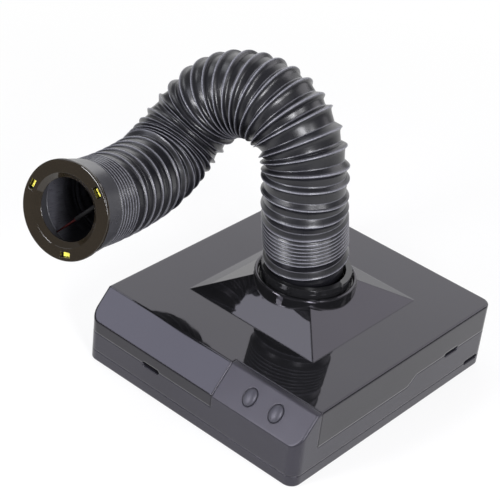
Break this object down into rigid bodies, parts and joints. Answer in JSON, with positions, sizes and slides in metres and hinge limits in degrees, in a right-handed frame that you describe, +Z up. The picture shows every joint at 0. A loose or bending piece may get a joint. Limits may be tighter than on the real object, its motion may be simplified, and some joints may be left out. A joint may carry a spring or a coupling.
{
  "type": "portable fume extractor",
  "caption": "Low black bench case with fan and filter, a pyramid hopper on its roof and a self-supporting bellows hose ending in a lit round nozzle.",
  "frame": {"origin": "on the table under the middle of the case footprint", "axes": "+Z up, +X to the right and -Y to the front, where the sloping control panel is"},
  "size_m": [0.2833, 0.3385, 0.2745],
  "materials": {
    "case_gloss": "smooth moulded black, polished enough to mirror the hose",
    "case_satin": "fine satin texture, dark grey",
    "hose": "flexible black polymer with a soft sheen on each fold",
    "coupler": "moulded black",
    "nozzle": "smooth brown-black, polished",
    "rubber": "soft black",
    "circuit_board": "green solder mask",
    "switch": "black with a metal plate",
    "led": "yellow phosphor under clear resin",
    "lead": "flexible wire insulation",
    "fan_plastic": "glass filled black",
    "copper": "enamelled copper windings",
    "ferrite": "bonded ferrite",
    "steel": "zinc plated",
    "filter_card": "stiff card",
    "carbon": "open foam loaded with carbon",
    "paper": "pleated glass paper"
  },
  "bodies": {
    "base": {"lower_case": "case_satin", "main_housing": "case_satin", "case_screws": "steel", "rubber_feet": "rubber", "control_board": "circuit_board", "tact_switches": "switch", "board_screws": "steel", "fan_frame": "fan_plastic", "fan_stator": "copper", "fan_bearings": "steel", "fan_screws": "steel", "filter_shelf": "fan_plastic", "shelf_screws": "steel", "filter_frame": "filter_card", "carbon_pad": "carbon", "hepa_media": "paper", "filter_gasket": "rubber", "rear_grille": "case_satin", "power_inlet": "switch"},
    "cover": {"cover": "case_gloss", "coupler_seal": "rubber"},
    "fan_button": {"fan_button": "case_satin"},
    "light_button": {"light_button": "case_satin"},
    "fan_rotor": {"fan_rotor": "fan_plastic", "fan_shaft": "steel", "rotor_magnet": "ferrite"},
    "coupler": {"hose_coupler": "coupler", "coupler_retainer": "steel", "hose_cuff": "hose"},
    "hose_root_stack": {"hose_root_stack": "hose"},
    "hose_riser": {"hose_riser": "hose"},
    "hose_arch_1": {"hose_arch_1": "hose"},
    "hose_arch_2": {"hose_arch_2": "hose"},
    "hose_arch_3": {"hose_arch_3": "hose"},
    "hose_arch_4": {"hose_arch_4": "hose"},
    "hose_arch_5": {"hose_arch_5": "hose"},
    "hose_arch_6": {"hose_arch_6": "hose"},
    "hose_elbow": {"hose_elbow": "hose"},
    "hose_reach_1": {"hose_reach_1": "hose"},
    "hose_reach_2": {"hose_reach_2": "hose"},
    "hose_reach_3": {"hose_reach_3": "hose"},
    "nozzle": {"hose_nozzle_stack": "hose", "nozzle_collar": "hose", "nozzle_ring": "nozzle", "led_board": "circuit_board", "leds": "led", "led_lead": "lead"}
  },
  "joints": [
    {"name": "cover_lift", "type": "slide", "parent": "base", "child": "cover", "axis": [0, 0, 1], "range_m": [0, 0.08]},
    {"name": "fan_button_press", "type": "slide", "parent": "base", "child": "fan_button", "axis": [0, 0.7372, -0.6757], "range_m": [0, 0.0012], "stiffness_N_per_m": 500, "springref_m": -0.001},
    {"name": "light_button_press", "type": "slide", "parent": "base", "child": "light_button", "axis": [0, 0.7372, -0.6757], "range_m": [0, 0.0012], "stiffness_N_per_m": 500, "springref_m": -0.001},
    {"name": "fan_spin", "type": "hinge", "parent": "base", "child": "fan_rotor", "pos_m": [0, 0.01, 0.025], "axis": [0, 0, 1], "continuous": true},
    {"name": "hose_swivel", "type": "hinge", "parent": "cover", "child": "coupler", "pos_m": [0, 0.01, 0.09], "axis": [0, 0, 1], "range_deg": [-150, 150]},
    {"name": "hose_bend_1", "type": "hinge", "parent": "coupler", "child": "hose_root_stack", "pos_m": [-0.00182, 0.0056, 0.12263], "axis": [0.143, -0.9764, 0.1621], "range_deg": [-8, 3], "deforming": ["hose_cuff", "hose_root_stack"]},
    {"name": "hose_extend", "type": "slide", "parent": "hose_root_stack", "child": "hose_riser", "axis": [-0.0851, -0.0957, 0.9918], "range_m": [0, 0.05], "deforming": ["hose_riser"]},
    {"name": "hose_bend_2", "type": "hinge", "parent": "hose_riser", "child": "hose_arch_1", "pos_m": [-0.00893, 0.00139, 0.19035], "axis": [0.143, -0.9764, 0.1621], "range_deg": [-8, 3], "deforming": ["hose_arch_1"]},
    {"name": "hose_bend_3", "type": "hinge", "parent": "hose_arch_1", "child": "hose_arch_2", "pos_m": [-0.02694, 0.00388, 0.22121], "axis": [0.143, -0.9764, 0.1621], "range_deg": [-8, 3], "deforming": ["hose_arch_2"]},
    {"name": "hose_bend_4", "type": "hinge", "parent": "hose_arch_2", "child": "hose_arch_3", "pos_m": [-0.05269, 0.00241, 0.23508], "axis": [0.143, -0.9764, 0.1621], "range_deg": [-12, 3], "deforming": ["hose_arch_3"]},
    {"name": "hose_bend_5", "type": "hinge", "parent": "hose_arch_3", "child": "hose_arch_4", "pos_m": [-0.07851, -0.00126, 0.23572], "axis": [0.143, -0.9764, 0.1621], "range_deg": [-12, 3], "deforming": ["hose_arch_4"]},
    {"name": "hose_bend_6", "type": "hinge", "parent": "hose_arch_4", "child": "hose_arch_5", "pos_m": [-0.10249, -0.00662, 0.22462], "axis": [0.143, -0.9764, 0.1621], "range_deg": [-12, 3], "deforming": ["hose_arch_5"]},
    {"name": "hose_bend_7", "type": "hinge", "parent": "hose_arch_5", "child": "hose_arch_6", "pos_m": [-0.12225, -0.01716, 0.19702], "axis": [-0.6644, -0.4798, 0.5731], "range_deg": [-12, 3], "deforming": ["hose_arch_6"]},
    {"name": "hose_bend_8", "type": "hinge", "parent": "hose_arch_6", "child": "hose_elbow", "pos_m": [-0.12575, -0.03234, 0.18025], "axis": [-0.6644, -0.4798, 0.5731], "range_deg": [-12, 3], "deforming": ["hose_elbow"]},
    {"name": "hose_bend_9", "type": "hinge", "parent": "hose_elbow", "child": "hose_reach_1", "pos_m": [-0.12092, -0.06849, 0.16498], "axis": [-0.9566, -0.2125, 0.1994], "range_deg": [-6, 10], "deforming": ["hose_reach_1"]},
    {"name": "hose_bend_10", "type": "hinge", "parent": "hose_reach_1", "child": "hose_reach_2", "pos_m": [-0.1162, -0.08973, 0.16526], "axis": [-0.9172, -0.2332, -0.3231], "range_deg": [-6, 10], "deforming": ["hose_reach_2"]},
    {"name": "hose_bend_11", "type": "hinge", "parent": "hose_reach_2", "child": "hose_reach_3", "pos_m": [-0.11107, -0.11335, 0.16775], "axis": [-0.9172, -0.2332, -0.3231], "range_deg": [-6, 10], "deforming": ["hose_reach_3"]},
    {"name": "hose_bend_12", "type": "hinge", "parent": "hose_reach_3", "child": "nozzle", "pos_m": [-0.10573, -0.14047, 0.17216], "axis": [-0.9172, -0.2332, -0.3231], "range_deg": [-6, 10], "deforming": ["hose_nozzle_stack"]}
  ],
  "couplings": [
    {"joint": "hose_bend_2", "follows": "hose_bend_1", "ratio": 1},
    {"joint": "hose_bend_3", "follows": "hose_bend_1", "ratio": 1},
    {"joint": "hose_bend_5", "follows": "hose_bend_4", "ratio": 1},
    {"joint": "hose_bend_6", "follows": "hose_bend_4", "ratio": 1},
    {"joint": "hose_bend_7", "follows": "hose_bend_4", "ratio": 1},
    {"joint": "hose_bend_8", "follows": "hose_bend_4", "ratio": 1},
    {"joint": "hose_bend_10", "follows": "hose_bend_9", "ratio": 1},
    {"joint": "hose_bend_11", "follows": "hose_bend_9", "ratio": 1},
    {"joint": "hose_bend_12", "follows": "hose_bend_9", "ratio": 1}
  ]
}
